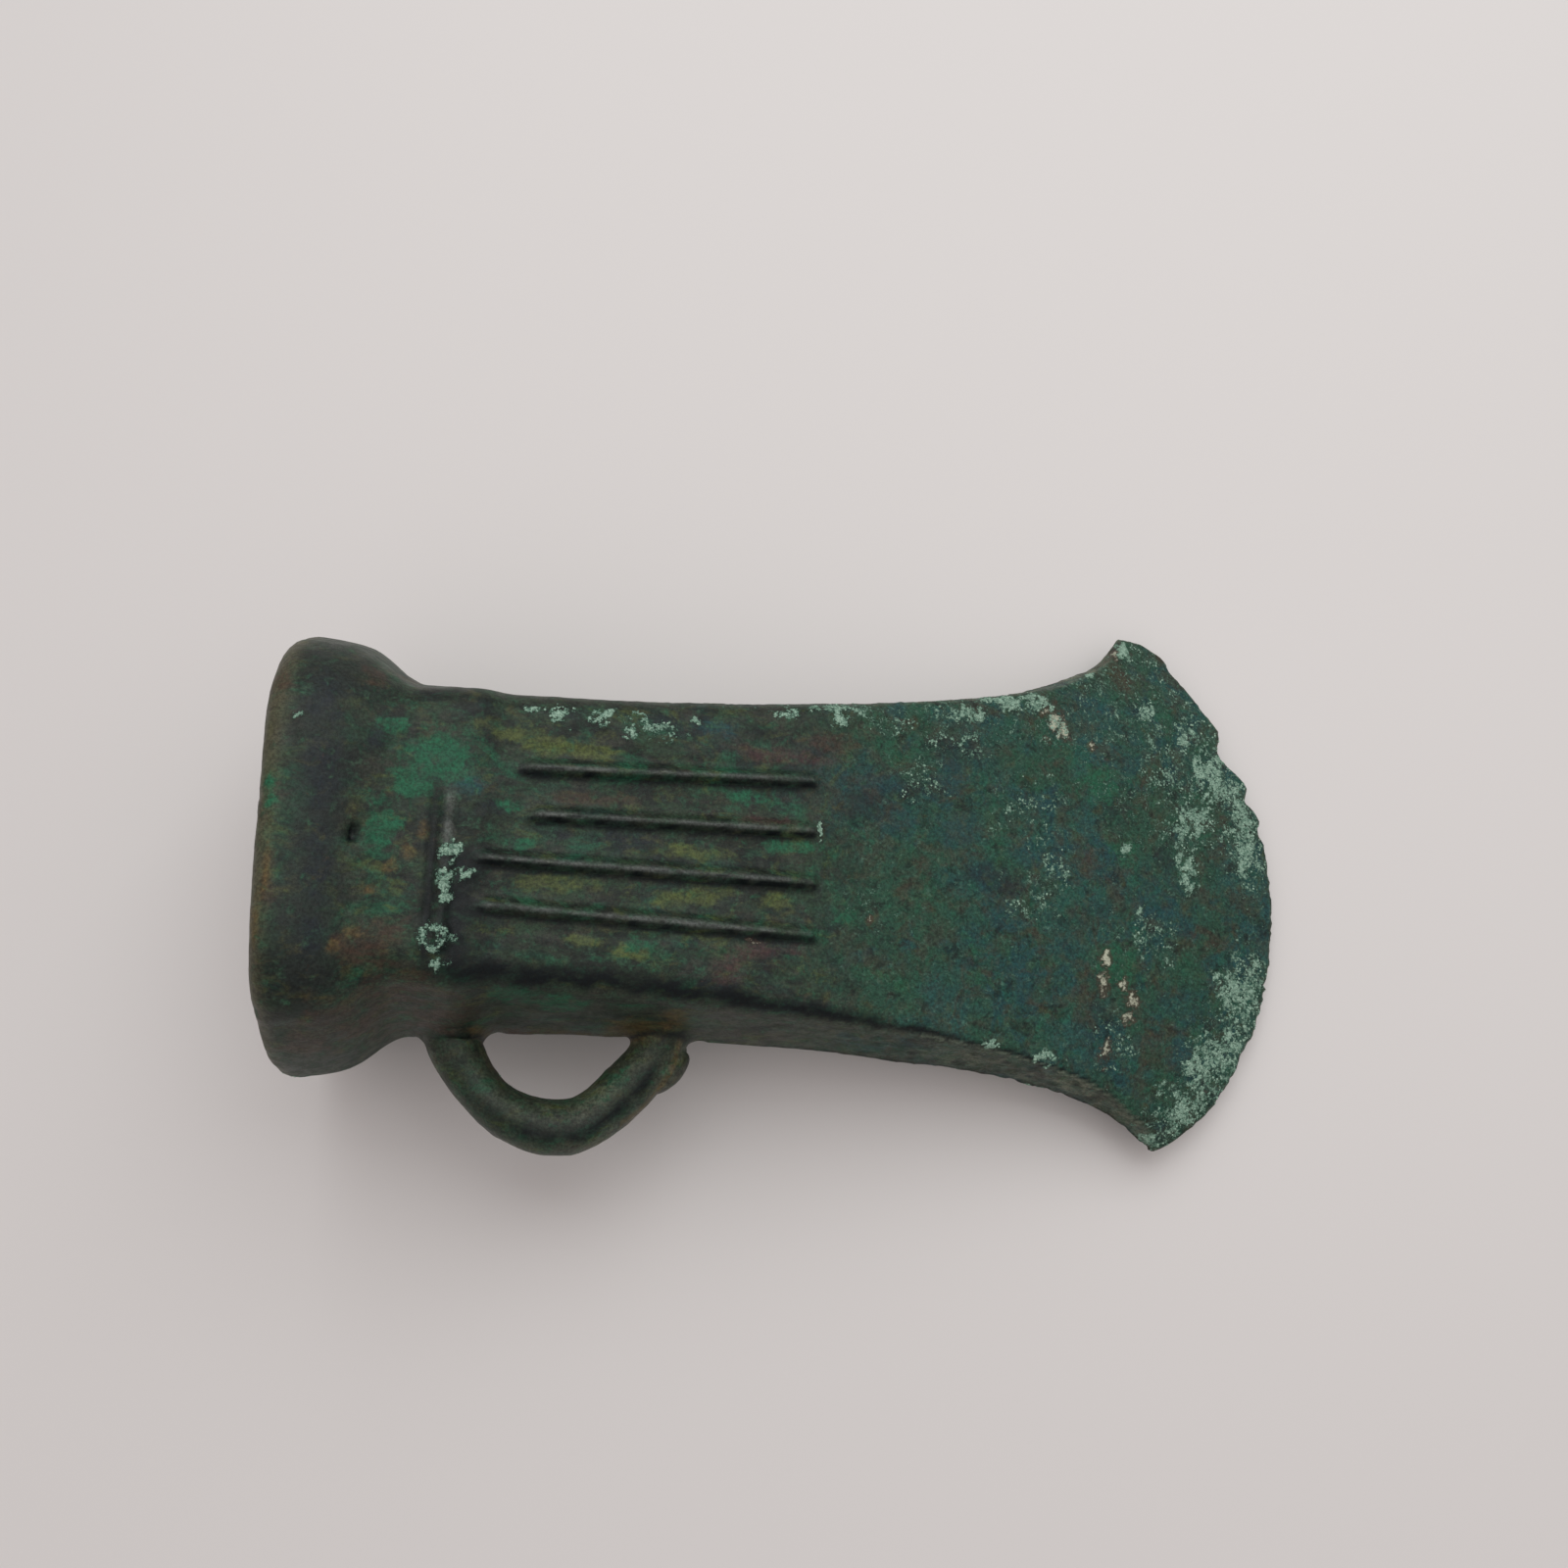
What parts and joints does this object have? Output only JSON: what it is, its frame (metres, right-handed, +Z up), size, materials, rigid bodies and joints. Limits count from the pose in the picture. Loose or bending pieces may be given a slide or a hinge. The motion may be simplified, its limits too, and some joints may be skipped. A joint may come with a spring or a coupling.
{
  "type": "bronze socketed axe head",
  "caption": "Ancient cast-bronze socketed axe head with a trumpet mouth, ribbed faces, a side loop and a spreading chipped blade.",
  "frame": {"origin": "centre of the bounding box at its bottom, on the surface that the head lies on", "axes": "+X from the socket's mouth to the cutting edge, +Z up with the head lying on one face, and the loop on the -Y side"},
  "size_m": [0.1066, 0.0582, 0.0379],
  "materials": {
    "patinated_bronze": "corroded bronze with a mottled dark green patina, emerald and yellow-green patches, brown and blue-black areas and pale mint crust"
  },
  "bodies": {
    "root": {"axe_head": "patinated_bronze"}
  },
  "joints": []
}
